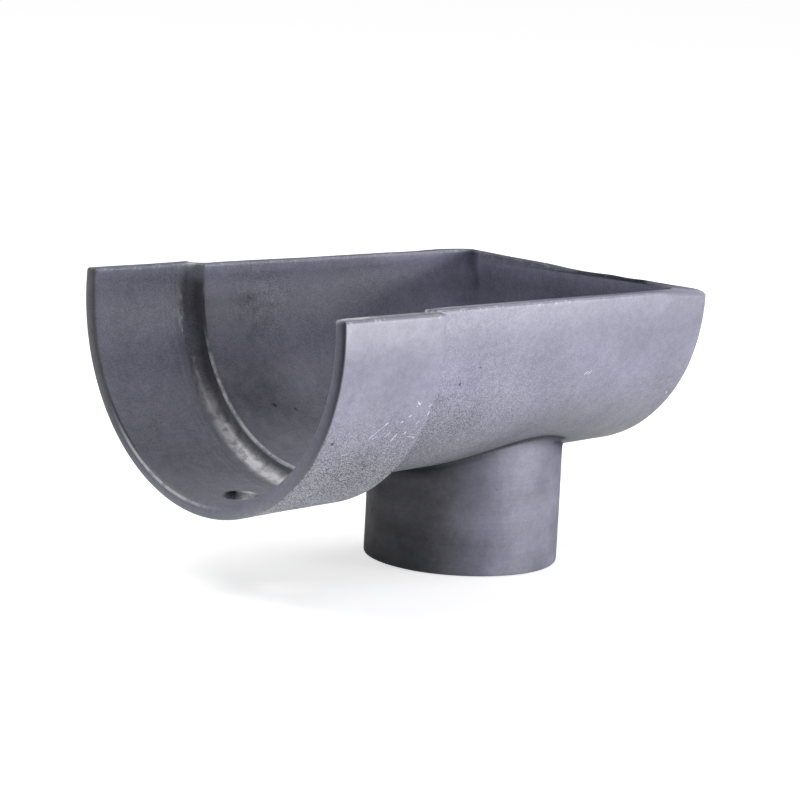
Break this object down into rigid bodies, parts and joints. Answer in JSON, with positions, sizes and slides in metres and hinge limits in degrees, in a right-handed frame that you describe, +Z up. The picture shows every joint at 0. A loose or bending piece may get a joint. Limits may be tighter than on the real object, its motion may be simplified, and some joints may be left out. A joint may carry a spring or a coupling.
{
  "type": "gutter stop end outlet",
  "caption": "Half-round gutter end piece, cast in one: trough with a filleted socket and bolt hole at one end, flat closed end at the other, round outlet pipe below.",
  "frame": {"origin": "outlet pipe's axis at its lower end", "axes": "+X along the lips towards the closed end, +Z up the outlet's axis, +Y across the trough"},
  "size_m": [0.181, 0.138, 0.1042],
  "materials": {
    "primed_iron": "matt grey primer over a sand-cast skin"
  },
  "bodies": {
    "root": {"outlet_casting": "primed_iron"}
  },
  "joints": []
}
